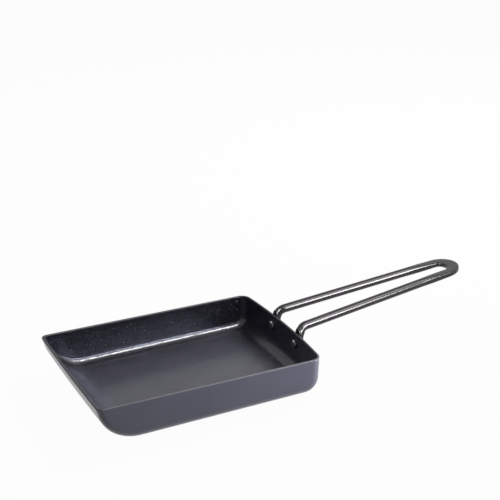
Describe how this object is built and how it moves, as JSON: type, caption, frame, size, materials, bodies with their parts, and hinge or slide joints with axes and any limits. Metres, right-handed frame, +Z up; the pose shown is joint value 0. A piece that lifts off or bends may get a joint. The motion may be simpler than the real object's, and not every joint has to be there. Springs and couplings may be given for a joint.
{
  "type": "omelette pan",
  "caption": "Small rectangular frying pan with a smooth floor, a flared front wall and a riveted looped rod handle, for omelettes and rolled eggs.",
  "frame": {"origin": "middle of the flat underside of the pan", "axes": "+Z up, +X from the pan towards the tip of the handle, +Y to the left of someone who looks along the handle"},
  "size_m": [0.3677, 0.14, 0.0534],
  "materials": {
    "nonstick_pan": "dark slate non-stick coating inside and out, satin, with a fine grain",
    "gunmetal_rod": "glossy gunmetal coating over steel rod",
    "dark_rivet": "dark coated rivet, semi-gloss"
  },
  "bodies": {
    "root": {"pan_body": "nonstick_pan", "handle_loop": "gunmetal_rod", "rivet_far": "dark_rivet", "rivet_near": "dark_rivet"}
  },
  "joints": []
}
